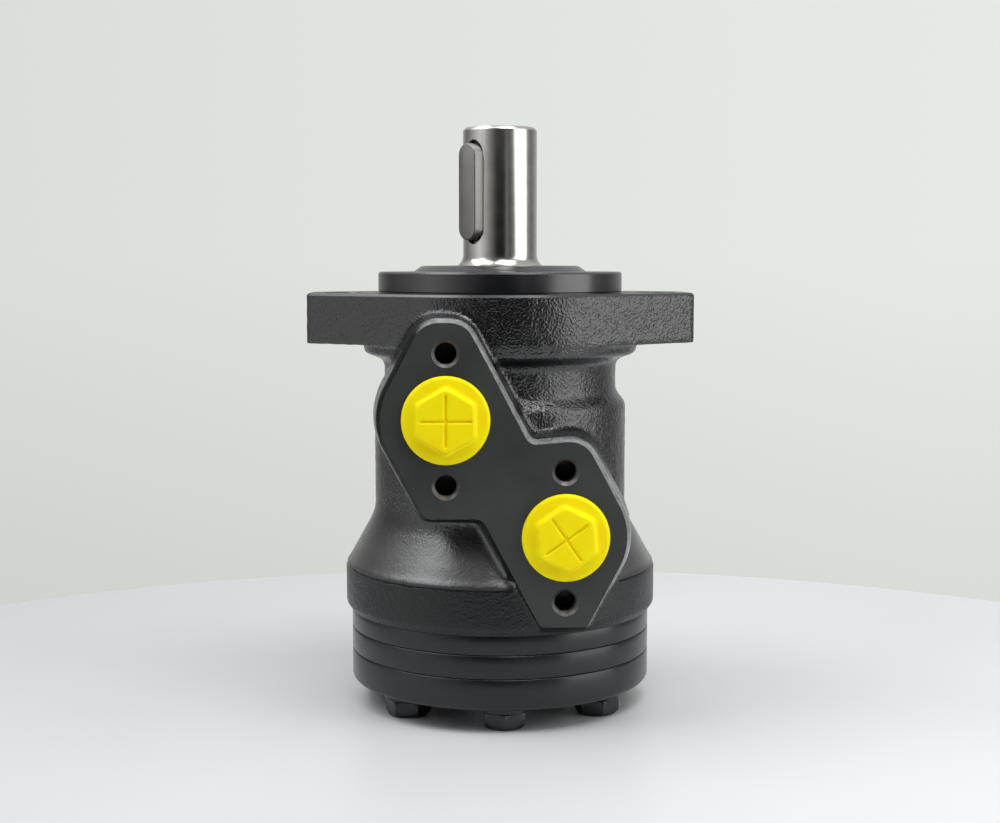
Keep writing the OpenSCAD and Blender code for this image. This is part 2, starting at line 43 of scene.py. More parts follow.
# ------------------------------------------------------------------ camera
YAW = math.radians(-2.0)
DIST, EYE, PITCH = 0.5377, 0.0112, math.radians(5.52)
cam_data = bpy.data.cameras.new("camera")
cam_data.sensor_fit = "HORIZONTAL"
cam_data.sensor_width = 36.0
cam_data.lens = 1575.4 / 1000 * 36.0
cam_data.clip_start, cam_data.clip_end = 0.02, 20
cam = bpy.data.objects.new("camera", cam_data)
cam.location = (DIST * math.sin(YAW), -DIST * math.cos(YAW), EYE)
cam.rotation_euler = (math.radians(90) - PITCH, 0, YAW)
scene.collection.objects.link(cam)
scene.camera = cam

# ------------------------------------------------------------------ sizes (mm)
Z_HOUSE, Z_PLATE, Z_GEAR, Z_COVER = -107.0, -113.4, -121.1, -131.5
Z_FOOT = -139.0
NECK, BODY, BULGE, RING = 39.5, 42.9, 53.0, 50.9
PX, ZA, ZB, FACE = 18.65, -38.3, -75.1, -53.6
HOLE_GAP, PAD_R, TIP_R = 20.6, 20.2, 10.4
SCREW_R, STEP, A0 = 40.0, 360.0 / 7, -90.0
A_ROLLER = A0 + STEP / 2
BORE, GALLERY, GROOVE = 22.03, 26.0, 19.0
DRAIN_Z, DRAIN_Y = -30.0, 46.0


# ------------------------------------------------------------------ mesh helpers
def obj_from(name, verts, faces):
    me = bpy.data.meshes.new(name)
    me.from_pydata([tuple(v) for v in verts], [], faces)
    me.validate()
    ob = bpy.data.objects.new(name, me)
    scene.collection.objects.link(ob)
    fix_normals(ob)
    return ob


def fix_normals(ob):
    bm = bmesh.new()
    bm.from_mesh(ob.data)
    bmesh.ops.remove_doubles(bm, verts=bm.verts, dist=1e-7)
    bmesh.ops.recalc_face_normals(bm, faces=bm.faces)
    bm.to_mesh(ob.data)
    bm.free()


def lathe(name, prof, n=192):
    """Closed solid of revolution from a profile of (r, z) in mm. A profile that
    starts and ends on the axis is capped there; any other is taken as a loop."""
    on_axis = prof[0][0] == 0 and prof[-1][0] == 0
    pts = prof[1:-1] if on_axis else prof
    m = len(pts)
    verts, faces = [], []
    for i in range(n):
        a = 2 * math.pi * i / n
        c, s = math.cos(a), math.sin(a)
        verts += [(r * c * MM, r * s * MM, z * MM) for r, z in pts]
    for i in range(n):
        j = (i + 1) % n
        for k in range(m - 1 if on_axis else m):
            k2 = (k + 1) % m
            faces.append((i * m + k, j * m + k, j * m + k2, i * m + k2))
    if on_axis:
        top, bot = len(verts), len(verts) + 1
        verts += [(0, 0, prof[0][1] * MM), (0, 0, prof[-1][1] * MM)]
        for i in range(n):
            j = (i + 1) % n
            faces.append((top, j * m, i * m))
            faces.append((bot, i * m + m - 1, j * m + m - 1))
    return obj_from(name, verts, faces)


def prism(name, rings):
    """Solid lofted through rings of equal point count; each ring is a list of
    (x, y, z) in mm, and both ends are closed."""
    m = len(rings[0])
    verts = [(x * MM, y * MM, z * MM) for ring in rings for x, y, z in ring]
    faces = []
    for k in range(len(rings) - 1):
        for i in range(m):
            j = (i + 1) % m
            faces.append((k * m + i, k * m + j, (k + 1) * m + j, (k + 1) * m + i))
    faces.append(tuple(range(m)))
    faces.append(tuple(reversed(range((len(rings) - 1) * m, len(rings) * m))))
    return obj_from(name, verts, faces)


def box(name, lo, hi):
    (x0, y0, z0), (x1, y1, z1) = lo, hi
    return prism(name, [[(x0, y0, z0), (x1, y0, z0), (x1, y1, z0), (x0, y1, z0)],
                        [(x0, y0, z1), (x1, y0, z1), (x1, y1, z1), (x0, y1, z1)]])


def place(ob, m):
    ob.data.transform(m)
    return ob


def at(x, y, z):
    return Matrix.Translation((x * MM, y * MM, z * MM))


def turn(deg, axis):
    return Matrix.Rotation(math.radians(deg), 4, axis)


def bake_modifiers(ob):
    bpy.context.view_layer.update()
    dg = bpy.context.evaluated_depsgraph_get()
    me = bpy.data.meshes.new_from_object(ob.evaluated_get(dg), depsgraph=dg)
    old = ob.data
    ob.modifiers.clear()
    ob.data = me
    if old.users == 0:
        bpy.data.meshes.remove(old)


def drop(ob):
    me = ob.data
    bpy.data.objects.remove(ob)
    if me.users == 0:
        bpy.data.meshes.remove(me)


def boolean(ob, other, op="DIFFERENCE", keep=False):
    m = ob.modifiers.new("b", "BOOLEAN")
    m.operation, m.object, m.solver = op, other, "MANIFOLD"
    bake_modifiers(ob)
    if not keep:
        drop(other)
    return ob


def union_all(obs):
    first = obs[0]
    for o in obs[1:]:
        boolean(first, o, "UNION")
    return first


def join(name, obs):
    """All meshes as one, parts left as they are."""
    bm = bmesh.new()
    for o in obs:
        bm.from_mesh(o.data)
    me = bpy.data.meshes.new(name)
    bm.to_mesh(me)
    bm.free()
    for o in obs:
        drop(o)
    ob = bpy.data.objects.new(name, me)
    scene.collection.objects.link(ob)
    return ob


def remesh(ob, size_mm):
    m = ob.modifiers.new("r", "REMESH")
    m.mode = "VOXEL"
    m.voxel_size = size_mm * MM
    m.adaptivity = 0
    bake_modifiers(ob)


def smooth(ob, factor, rounds):
    m = ob.modifiers.new("s", "SMOOTH")
    m.factor, m.iterations = factor, rounds
    bake_modifiers(ob)


def shade(ob, angle=35):
    ob.data.shade_smooth()
    ob.data.set_sharp_from_angle(angle=math.radians(angle))


def arc(cx, cy, r, a0, a1, n):
    return [(cx + r * math.cos(math.radians(a0 + (a1 - a0) * i / n)),
             cy + r * math.sin(math.radians(a0 + (a1 - a0) * i / n))) for i in range(n + 1)]


def bez(p0, p1, p2, n):
    return [tuple((1 - t) ** 2 * a + 2 * t * (1 - t) * b + t * t * c for a, b, c in zip(p0, p1, p2))
            for t in (i / n for i in range(n + 1))]


def resample(pts, step):
    """A closed outline with points at most step apart, straight runs included."""
    out = []
    for i, p in enumerate(pts):
        q = pts[(i + 1) % len(pts)]
        d = math.dist(p, q)
        k = max(1, int(math.ceil(d / step)))
        out += [(p[0] + (q[0] - p[0]) * j / k, p[1] + (q[1] - p[1]) * j / k) for j in range(k)]
    return out


def grow(pts, d):
    """The outline moved out by d along its corner normals."""
    area = sum(p[0] * q[1] - q[0] * p[1] for p, q in zip(pts, pts[1:] + pts[:1]))
    s = 1 if area > 0 else -1
    out = []
    for i, p in enumerate(pts):
        a, b = pts[i - 1], pts[(i + 1) % len(pts)]
        tx, ty = b[0] - a[0], b[1] - a[1]
        n = math.hypot(tx, ty) or 1
        out.append((p[0] + s * ty / n * d, p[1] - s * tx / n * d))
    return out


def holes_ring(r, pcr, z0, z1, n=7, a0=A0, seg=48):
    obs = []
    for k in range(n):
        a = math.radians(a0 + k * 360.0 / n)
        c = lathe("h", [(0, z0), (r, z0), (r, z1), (0, z1)], seg)
        obs.append(place(c, at(pcr * math.cos(a), pcr * math.sin(a), 0)))
    return obs


def thread_cut(name, core, major, pitch, depth, cham, seg=64):
    """Cutter for a threaded hole along +Z, mouth at z = 0 and bottom at -depth."""
    prof = [(0, 2.0), (major + cham * 0.4 + 2.0, 2.0), (major + cham * 0.4, 0.0), (core, -(major + cham * 0.4 - core))]
    z = -(major + cham * 0.4 - core) - pitch * 0.3
    while z - pitch > -depth:
        prof += [(core, z), (major, z - pitch * 0.42), (major, z - pitch * 0.54), (core, z - pitch * 0.96)]
        z -= pitch
    prof += [(core, -depth), (0, -depth - core * 0.55)]
    return lathe(name, prof, seg)


# ------------------------------------------------------------------ materials
def mat(name):
    m = bpy.data.materials.new(name)
    m.use_nodes = True
    nt = m.node_tree
    b = nt.nodes["Principled BSDF"]
    return m, nt, b


def node(nt, kind, **kw):
    n = nt.nodes.new(kind)
    for k, v in kw.items():
        if k in n.inputs:
            n.inputs[k].default_value = v
        else:
            setattr(n, k, v)
    return n


def coords(nt, scale=1.0):
    tc = nt.nodes.new("ShaderNodeTexCoord")
    if scale == 1.0:
        return tc.outputs["Object"]
    mp = nt.nodes.new("ShaderNodeMapping")
    mp.inputs["Scale"].default_value = scale if isinstance(scale, tuple) else (scale,) * 3
    nt.links.new(tc.outputs["Object"], mp.inputs["Vector"])
    return mp.outputs["Vector"]


def noise_tex(nt, vec, scale, detail=4.0, rough=0.5):
    n = nt.nodes.new("ShaderNodeTexNoise")
    n.inputs["Scale"].default_value = scale
    n.inputs["Detail"].default_value = detail
    n.inputs["Roughness"].default_value = rough
    nt.links.new(vec, n.inputs["Vector"])
    return n.outputs["Fac"]


def ramp(nt, fac, stops):
    r = nt.nodes.new("ShaderNodeValToRGB")
    els = r.color_ramp.elements
    while len(els) < len(stops):
        els.new(0.5)
    for e, (p, c) in zip(els, stops):
        e.position = p
        e.color = (*c, 1) if len(c) == 3 else c
    nt.links.new(fac, r.inputs["Fac"])
    return r.outputs["Color"]


def remap(nt, fac, a, b, c, d):
    m = nt.nodes.new("ShaderNodeMapRange")
    for k, v in zip(("From Min", "From Max", "To Min", "To Max"), (a, b, c, d)):
        m.inputs[k].default_value = v
    nt.links.new(fac, m.inputs["Value"])
    return m.outputs["Result"]


def bump(nt, height, dist_mm, strength=1.0, under=None):
    b = nt.nodes.new("ShaderNodeBump")
    b.inputs["Strength"].default_value = strength
    b.inputs["Distance"].default_value = dist_mm * MM
    nt.links.new(height, b.inputs["Height"])
    if under is not None:
        nt.links.new(under, b.inputs["Normal"])
    return b.outputs["Normal"]


def mix_color(nt, fac, a, b):
    m = nt.nodes.new("ShaderNodeMix")
    m.data_type = "RGBA"
    for sock, v in ((6, a), (7, b)):
        if isinstance(v, tuple):
            m.inputs[sock].default_value = (*v, 1)
        else:
            nt.links.new(v, m.inputs[sock])
    nt.links.new(fac, m.inputs[0])
    return m.outputs[2]


def cast_paint():
    """Gloss black paint over a sand casting: grain about a millimetre across."""
    m, nt, b = mat("cast_paint")
    v = coords(nt)
    grain = noise_tex(nt, v, 1200, 2, 0.5)
    vo = nt.nodes.new("ShaderNodeTexVoronoi")
    vo.feature = "SMOOTH_F1"
    vo.inputs["Scale"].default_value = 1300
    vo.inputs["Smoothness"].default_value = 0.6
    vo.inputs["Randomness"].default_value = 1.0
    nt.links.new(v, vo.inputs["Vector"])
    fine = noise_tex(nt, v, 2300, 2, 0.5)
    wide = noise_tex(nt, v, 60, 3, 0.5)
    n1 = bump(nt, grain, 0.22, 1.0)
    n2 = bump(nt, vo.outputs["Distance"], 0.135, 1.0, n1)
    n3 = bump(nt, fine, 0.025, 1.0, n2)
    nt.links.new(n3, b.inputs["Normal"])
    # the skin is smoother on the flared foot than on the neck and body
    sep = nt.nodes.new("ShaderNodeSeparateXYZ")
    nt.links.new(v, sep.inputs["Vector"])
    top = nt.nodes.new("ShaderNodeMath")
    top.operation = "MAXIMUM"
    nt.links.new(remap(nt, sep.outputs["Z"], -0.082, -0.070, 0.30, 1.0), top.inputs[0])
    nt.links.new(remap(nt, sep.outputs["Z"], -0.0930, -0.0915, 0.85, 0.0), top.inputs[1])
    rough = top.outputs[0]
    for n in [x for x in nt.nodes if x.bl_idname == "ShaderNodeBump"]:
        nt.links.new(rough, n.inputs["Strength"])
    col = ramp(nt, grain, [(0.32, (0.002, 0.002, 0.0024)), (0.7, (0.0046, 0.005, 0.006))])
    nt.links.new(mix_color(nt, remap(nt, wide, 0.3, 0.7, 0.0, 0.5), col, (0.004, 0.0044, 0.0052)), b.inputs["Base Color"])
    add = nt.nodes.new("ShaderNodeMath")
    add.operation = "ADD"
    nt.links.new(remap(nt, wide, 0.3, 0.7, 0.14, 0.22), add.inputs[0])
    nt.links.new(remap(nt, sep.outputs["Z"], -0.082, -0.072, 0.15, 0.0), add.inputs[1])
    nt.links.new(add.outputs[0], b.inputs["Roughness"])
    nt.links.new(remap(nt, sep.outputs["Z"], -0.0935, -0.0905, 0.45, 0.9), b.inputs["Specular IOR Level"])
    coat = nt.nodes.new("ShaderNodeMath")
    coat.operation = "MULTIPLY"
    nt.links.new(remap(nt, sep.outputs["Z"], -0.084, -0.074, 1.0, 0.0), coat.inputs[0])
    nt.links.new(remap(nt, sep.outputs["Z"], -0.0925, -0.0900, 0.0, 1.0), coat.inputs[1])
    nt.links.new(coat.outputs[0], b.inputs["Coat Weight"])
    b.inputs["Coat Roughness"].default_value = 0.30
    b.inputs["Coat IOR"].default_value = 1.6
    return m


def pad_paint():
    """Thin black paint on a milled face: satin, with faint cutter marks."""
    m, nt, b = mat("pad_paint")
    v = coords(nt)
    wide = noise_tex(nt, v, 55, 4, 0.55)
    fine = noise_tex(nt, v, 1500, 2, 0.5)
    mill = noise_tex(nt, coords(nt, (160.0, 160.0, 1800.0)), 1.0, 2, 0.5)
    nt.links.new(ramp(nt, wide, [(0.3, (0.024, 0.028, 0.026)), (0.72, (0.036, 0.041, 0.038))]), b.inputs["Base Color"])
    nt.links.new(remap(nt, wide, 0.3, 0.7, 0.33, 0.45), b.inputs["Roughness"])
    n1 = bump(nt, fine, 0.008, 1.0)
    nt.links.new(bump(nt, mill, 0.006, 1.0, n1), b.inputs["Normal"])
    b.inputs["Specular IOR Level"].default_value = 0.5
    return m


def ring_paint(name="ring_paint", marks=True, gloss=0.5):
    """Black paint on turned steel, thin enough for the turning marks to show."""
    m, nt, b = mat(name)
    v = coords(nt)
    wide = noise_tex(nt, v, 70, 3, 0.5)
    fine = noise_tex(nt, v, 1600, 2, 0.5)
    nt.links.new(ramp(nt, wide, [(0.3, (0.004, 0.0045, 0.0065)), (0.72, (0.007, 0.0075, 0.010))]), b.inputs["Base Color"])
    nt.links.new(remap(nt, wide, 0.3, 0.7, 0.20, 0.28), b.inputs["Roughness"])
    n = bump(nt, fine, 0.010, 1.0)
    if marks:
        lines = noise_tex(nt, coords(nt, (6.0, 6.0, 2600.0)), 1.0, 2, 0.5)
        n = bump(nt, lines, 0.010, 1.0, n)
    nt.links.new(n, b.inputs["Normal"])
    b.inputs["Specular IOR Level"].default_value = gloss
    return m


def steel(name, base, rough, marks=0.004, axis="Z", spread=0.06):
    """Turned or ground steel with fine marks round the axis."""
    m, nt, b = mat(name)
    k = {"Z": (8.0, 8.0, 5200.0), "X": (5200.0, 8.0, 8.0), "Y": (8.0, 5200.0, 8.0)}[axis]
    lines = noise_tex(nt, coords(nt, k), 1.0, 3, 0.6)
    wide = noise_tex(nt, coords(nt), 160, 4, 0.6)
    lo, hi = tuple(c * 0.86 for c in base), base
    nt.links.new(ramp(nt, wide, [(0.3, lo), (0.7, hi)]), b.inputs["Base Color"])
    nt.links.new(remap(nt, wide, 0.25, 0.75, rough, rough + spread), b.inputs["Roughness"])
    nt.links.new(bump(nt, lines, marks, 1.0), b.inputs["Normal"])
    b.inputs["Metallic"].default_value = 1.0
    return m


def rubber(name, base=(0.012, 0.012, 0.012)):
    m, nt, b = mat(name)
    v = coords(nt)
    f = noise_tex(nt, v, 1400, 3, 0.6)
    nt.links.new(ramp(nt, f, [(0.3, tuple(c * 0.7 for c in base)), (0.7, tuple(c * 1.5 for c in base))]), b.inputs["Base Color"])
    nt.links.new(remap(nt, f, 0.3, 0.7, 0.55, 0.72), b.inputs["Roughness"])
    nt.links.new(bump(nt, f, 0.02, 1.0), b.inputs["Normal"])
    return m


def plastic():
    """Soft polyethylene: yellow, slightly waxy."""
    m, nt, b = mat("yellow_plastic")
    v = coords(nt)
    wide = noise_tex(nt, v, 120, 3, 0.5)
    fine = noise_tex(nt, v, 1200, 2, 0.5)
    nt.links.new(ramp(nt, wide, [(0.3, (1.0, 0.77, 0.0)), (0.7, (1.0, 0.85, 0.0))]), b.inputs["Base Color"])
    nt.links.new(remap(nt, fine, 0.3, 0.7, 0.42, 0.56), b.inputs["Roughness"])
    b.inputs["Specular IOR Level"].default_value = 0.16
    nt.links.new(bump(nt, fine, 0.012, 1.0), b.inputs["Normal"])
    b.inputs["Subsurface Weight"].default_value = 0.25
    b.inputs["Subsurface Radius"].default_value = (0.004, 0.0025, 0.0004)
    b.inputs["Subsurface Scale"].default_value = 0.5
    return m


def edge_paint():
    """Thick glossy paint along the rounded edge of the pad."""
    m, nt, b = mat("edge_paint")
    v = coords(nt)
    soft = noise_tex(nt, v, 420, 3, 0.5)
    fine = noise_tex(nt, v, 1300, 2, 0.5)
    # painted highlight: the edges that face up and to the right, towards the lamps, get a pale grey base colour and
    # more gloss
    geo = nt.nodes.new("ShaderNodeNewGeometry")
    dot = nt.nodes.new("ShaderNodeVectorMath")
    dot.operation = "DOT_PRODUCT"
    dot.inputs[1].default_value = (0.75, -0.20, 0.63)
    nt.links.new(geo.outputs["Normal"], dot.inputs[0])
    painted_highlight_mask = remap(nt, dot.outputs["Value"], 0.28, 0.62, 0.0, 1.0)
    dark = ramp(nt, soft, [(0.3, (0.006, 0.0065, 0.007)), (0.7, (0.010, 0.011, 0.012))])
    pale = ramp(nt, soft, [(0.3, (0.12, 0.124, 0.13)), (0.7, (0.25, 0.256, 0.265))])
    # painted highlight: pale grey mixed into the base colour where the edge faces the lamps
    nt.links.new(mix_color(nt, painted_highlight_mask, dark, pale), b.inputs["Base Color"])
    nt.links.new(remap(nt, dot.outputs["Value"], -0.1, 0.5, 0.10, 1.0), b.inputs["Specular IOR Level"])
    nt.links.new(remap(nt, dot.outputs["Value"], -0.1, 0.5, 0.0, 0.8), b.inputs["Coat Weight"])
    nt.links.new(remap(nt, soft, 0.3, 0.7, 0.18, 0.30), b.inputs["Roughness"])
    n1 = bump(nt, soft, 0.10, 1.0)
    nt.links.new(bump(nt, fine, 0.03, 1.0, n1), b.inputs["Normal"])
    b.inputs["Coat Roughness"].default_value = 0.22
    return m


M_CAST, M_PAD, M_RING = cast_paint(), pad_paint(), ring_paint()
M_EDGE = edge_paint()
M_SMOOTH = ring_paint("machined_paint", marks=False, gloss=1.0)
M_SHAFT = steel("ground_steel", (0.56, 0.55, 0.525), 0.15, 0.0025)
M_KEY = steel("key_steel", (0.27, 0.26, 0.245), 0.40, 0.008, "X", 0.12)
M_BEARING = steel("bearing_steel", (0.62, 0.61, 0.60), 0.20, 0.002)
M_BORE = steel("machined_iron", (0.13, 0.125, 0.12), 0.38, 0.008)
M_SCREW = ring_paint("screw_paint", marks=False)
M_RUBBER = rubber("seal_rubber")
M_YELLOW = plastic()


def set_materials(ob, mats, index=None):
    ob.data.materials.clear()
    for m in mats:
        ob.data.materials.append(m)
    if index is None:
        index = np.zeros(len(ob.data.polygons), np.int32)
    ob.data.polygons.foreach_set("material_index", np.asarray(index, np.int32))
    ob.data.update()


def centres(ob):
    n = len(ob.data.polygons)
    c, d = np.zeros(n * 3, np.float32), np.zeros(n * 3, np.float32)
    ob.data.polygons.foreach_get("center", c)
    ob.data.polygons.foreach_get("normal", d)
    return c.reshape(-1, 3) / MM, d.reshape(-1, 3)


# ------------------------------------------------------------------ outlines
def flange_outline(g=0.0):
    rc, r = 3.5, 47.0 + g
    px, py, q = 65 - rc, 14 - rc, rc + g
    an = math.degrees(math.atan2(py, px) + math.acos((r - q) / math.hypot(px, py)))
    pts = arc(px, py, q, 0, an, 8) + arc(0, 0, r, an, 180 - an, 60)
    pts += arc(-px, py, q, 180 - an, 180, 8) + arc(-px, -py, q, 180, 180 + an, 8)
    pts += arc(0, 0, r, 180 + an, 360 - an, 60) + arc(px, -py, q, 360 - an, 360, 8)
    return pts


def rounded(pts, radii, n=8):
    """Polygon corners replaced by arcs, convex or concave."""
    out = []
    for i, (p, r) in enumerate(zip(pts, radii)):
        a, b = Vector(pts[i - 1]) - Vector(p), Vector(pts[(i + 1) % len(pts)]) - Vector(p)
        half = a.angle(b) / 2
        if r <= 0 or half > math.radians(89):
            out.append(p)
            continue
        d = r / math.tan(half)
        c = Vector(p) + (a.normalized() + b.normalized()).normalized() * (r / math.sin(half))
        s, e = Vector(p) + a.normalized() * d - c, Vector(p) + b.normalized() * d - c
        a0 = math.atan2(s.y, s.x)
        da = (math.atan2(e.y, e.x) - a0 + math.pi) % (2 * math.pi) - math.pi
        out += [(c.x + r * math.cos(a0 + da * k / n), c.y + r * math.sin(a0 + da * k / n)) for k in range(n + 1)]
    return out


def pad_outline():
    """Outline of the machined port face, seen from the front, as (x, z): two
    round lobes with tapering ends, joined by their slanted outer tangents."""
    rr, shift = 19.7, -0.5
    t = math.asin((rr - 10.1) / HOLE_GAP)
    st, ct = math.sin(t), math.cos(t)
    za, zc = (ZA - ZB) / 2, (ZA + ZB) / 2
    ax, bx = -PX + shift, PX + shift

    def side(cx, cz, sign, z):
        return (cx + sign * (rr - abs(z - cz) * st) / ct, z)

    def far(cx, cz, sign, z):
        return (cx + sign * (rr + abs(z - cz) * st) / ct, z)

    top_a, bot_a = za + HOLE_GAP + 9.4, za - HOLE_GAP - 10.2
    top_b, bot_b = -za + HOLE_GAP + 9.7, -103.6 - zc
    deg = math.degrees(t)
    left = [q for q in arc(ax, za, rr, 180 - deg, 180 + deg, 16)]
    right = [q for q in arc(bx, -za, rr, -deg, deg, 16)]
    pts = ([side(ax, za, -1, top_a)] + left + [side(ax, za, -1, bot_a), far(bx, -za, -1, bot_a), side(bx, -za, -1, bot_b),
           side(bx, -za, 1, bot_b)] + right + [side(bx, -za, 1, top_b), far(ax, za, 1, top_b - 1.5), side(ax, za, 1, top_a)])
    radii = [8.0] + [0] * len(left) + [3.2, 3.0, 1.2, 1.2] + [0] * len(right) + [8.2, 3.4, 8.0]
    return [(x, z + zc) for x, z in rounded(pts, radii)]


def body_profile():
    p = [(0, -3), (46.5, -3), (46.5, -8.4)]
    p += arc(44.3, -18.6, 2.2, 0, -90, 5) + arc(NECK + 3.1, -24.7, 3.1, 98, 180, 6)
    p += [(NECK + (BODY - NECK) * (1 - math.cos(math.radians(22.5 * i))) / 2, -31.8 - 0.8 * i) for i in range(9)]
    p += bez((BODY, -70.8), (BODY, -74), (BODY + 1.7, -77.2), 5)
    p += [(BULGE - 1.5, -89.6), (BULGE - 0.3, -91.3), (BULGE, -92.2), (BULGE, -105), (BULGE - 1.6, -107), (BULGE - 2.4, -109.5), (0, -109.5)]
    return p


# ------------------------------------------------------------------ housing
def make_housing():
    # the casting, a little thick where it will be machined
    rev = lathe("cast", body_profile(), 256)
    fl = resample(flange_outline(-0.1), 2.0)
    plate = prism("plate", [[(x, y, z) for x, y in fl] for z in (-16.8, 1.5)])
    po = resample(pad_outline(), 1.0)
    rings = []
    for y, g in ((-55.4, -0.5), (-54.0, -0.1), (-53.5, 0.15), (-53.0, 0.75), (-52.3, 1.25), (-51.2, 1.65), (-49.0, 1.95), (-44.0, 2.4), (-38.0, 3.0), (-24.0, 3.2)):
        rings.append([(x, y, z) for x, z in grow(po, g)])
    pad = prism("pad", rings)
    boss = lathe("boss", [(0, 20), (14.0, 20), (12.6, 34), (12.0, 40), (11.7, 47.5), (0, 47.5)], 64)
    place(boss, at(0, 0, DRAIN_Z) @ turn(-90, "X"))
    h = join("housing_cast", [rev, plate, pad, boss])
    remesh(h, 0.8)
    smooth(h, 0.5, 5)
    # waviness of the casting, only inwards
    n = len(h.data.vertices)
    co, no = np.zeros(n * 3, np.float32), np.zeros(n * 3, np.float32)
    h.data.vertices.foreach_get("co", co)
    h.data.vertex_normals.foreach_get("vector", no)
    co, no = co.reshape(-1, 3), no.reshape(-1, 3)
    amp = np.empty(n, np.float32)
    for i in range(n):
        p = Vector((float(co[i, 0]), float(co[i, 1]), float(co[i, 2])))
        wave = 1.0 - 0.72 * min(max((-0.068 - p.z) / 0.010, 0.0), 1.0)    # the flared foot is more even
        amp[i] = wave * (0.10 * noise.noise(p * 330.0) + 0.07 * noise.noise(p * 120.0) + 0.06 * noise.noise(p * 620.0 + Vector((7, 3, 1)))) - 0.16
    co += no * amp[:, None] * MM
    h.data.vertices.foreach_set("co", co.ravel())
    h.data.update()

    # machined from here on: flat cuts first
    top = box("t", (-90, -90, -0.75), (90, 90, 60))
    pad_cut = box("p", (-90, -90, -140), (90, FACE, 60))
    base = box("b", (-90, -90, -140), (90, 90, Z_HOUSE))
    back = box("d", (-13, DRAIN_Y, DRAIN_Z - 13), (13, 80, DRAIN_Z + 13))
    for c in (top, pad_cut, base, back):
        boolean(h, c)
    # crease under the cone, stopping at the pad
    crease = lathe("cr", [(BULGE - 1.1, -91.5), (BULGE - 1.1, -92.3), (BULGE + 1.0, -93.5), (BULGE + 1.0, -90.7)], 192)
    boolean(crease, box("s", (0.5, -80, -95), (37, -20, -88)))
    boolean(h, crease)
    # flange top with its chamfer, pilot and bevelled boss
    plate = prism("pl", [[(x, y, z) for x, y in flange_outline(g)] for z, g in ((-3.0, -1.2), (-1.2, -0.35), (-0.75, -0.25), (0.0, -1.0))])
    pilot = lathe("pi", [(0, 9.0), (26.2, 9.0), (26.9, 8.75), (28.9, 7.35), (29.5, 7.0), (40.7, 7.0), (41.25, 6.45), (41.25, 0.7), (40.9, 0.35),
                         (40.9, -2.5), (0, -2.5)], 256)
    boolean(h, plate, "UNION")
    boolean(h, pilot, "UNION")

    # hollow, passages and holes
    cut = [lathe("hollow", [(0, 20), (20.8, 20), (20.8, 9.0), (20, 8.4), (20, 3.5), (16, 3.5), (16, 2), (19.5, 2), (19.5, -6), (BORE, -6),
                            (BORE, ZA + 5), (GALLERY, ZA + 5), (GALLERY, ZA - 5), (BORE, ZA - 5),
                            (BORE, ZB + 5), (GALLERY, ZB + 5), (GALLERY, ZB - 5), (BORE, ZB - 5),
                            (BORE, -108), (0, -108)], 192)]
    for s, z in ((-1, ZA), (1, ZB)):
        c = thread_cut("g12", 9.32, 10.3, 1.814, 15, 1.4, 96)
        cut.append(place(c, at(s * PX, FACE, z) @ turn(90, "X")))
        c = lathe("way", [(0, 0), (4.4, 0), (4.4, 16), (0, 16)], 48)
        cut.append(place(c, at(s * PX, FACE + 14, z) @ turn(s * 33, "Z") @ turn(-90, "X")))
        for e in (-1, 1):
            c = thread_cut("m8", 3.4, 4.0, 1.25, 13, 0.9, 48)
            cut.append(place(c, at(s * PX, FACE, z + e * HOLE_GAP) @ turn(90, "X")))
    cut += holes_ring(2.4, 31, -108, -53.6, seg=24)
    cut += holes_ring(4.02, SCREW_R, -108, -90, seg=36)
    for k in range(7):
        c = lathe("win", [(0, BORE - 1), (1.9, BORE - 1), (1.9, 32.4), (0, 32.4)], 24)
        cut.append(place(c, turn(A0 + k * STEP, "Z") @ at(0, 0, (ZA + ZB) / 2) @ turn(90, "Y")))
    for k, zg in ((4, ZA), (2, ZB)):
        a = math.radians(A_ROLLER + k * STEP)
        c = lathe("chk", [(0, -108), (3.1, -108), (3.1, -88.5), (1.4, -88.5), (1.4, zg + 1.4), (0, zg + 1.4)], 36)
        cut.append(place(c, at(31 * math.cos(a), 31 * math.sin(a), 0)))
        c = lathe("chr", [(0, GALLERY - 1.5), (1.1, GALLERY - 1.5), (1.1, 31), (0, 31)], 24)
        cut.append(place(c, turn(math.degrees(a), "Z") @ at(0, 0, zg) @ turn(90, "Y")))
        c = box("slot", (BORE - 1, -1, -108), (31, 1, -106))
        cut.append(place(c, turn(math.degrees(a), "Z")))
    c = thread_cut("g14", 5.75, 6.55, 1.337, 12, 1.0, 64)
    cut.append(place(c, at(0, DRAIN_Y, DRAIN_Z) @ turn(-90, "X")))
    c = lathe("dr", [(0, 0), (2, 0), (2, 19), (0, 19)], 24)
    cut.append(place(c, at(0, 35, DRAIN_Z) @ turn(50, "X")))
    cut.append(lathe("org", [(46.2, -108), (48.2, -108), (48.2, -105.7), (46.2, -105.7)], 192))
    for s in (-1, 1):
        c = lathe("fb", [(0, 2), (8.4, 2), (7.25, 0.0), (6.75, -0.5), (6.75, -25), (0, -25)], 96)
        cut.append(place(c, at(s * 53.2, 0, 0)))
    # a small pit in the casting, in the corner above the pad's notch
    c = lathe("pit", arc(0, 0, 1.25, 90, -90, 10), 32)
    cut.append(place(c, at(13.9, FACE + 1.9, -43.3)))
    boolean(h, union_all(cut))

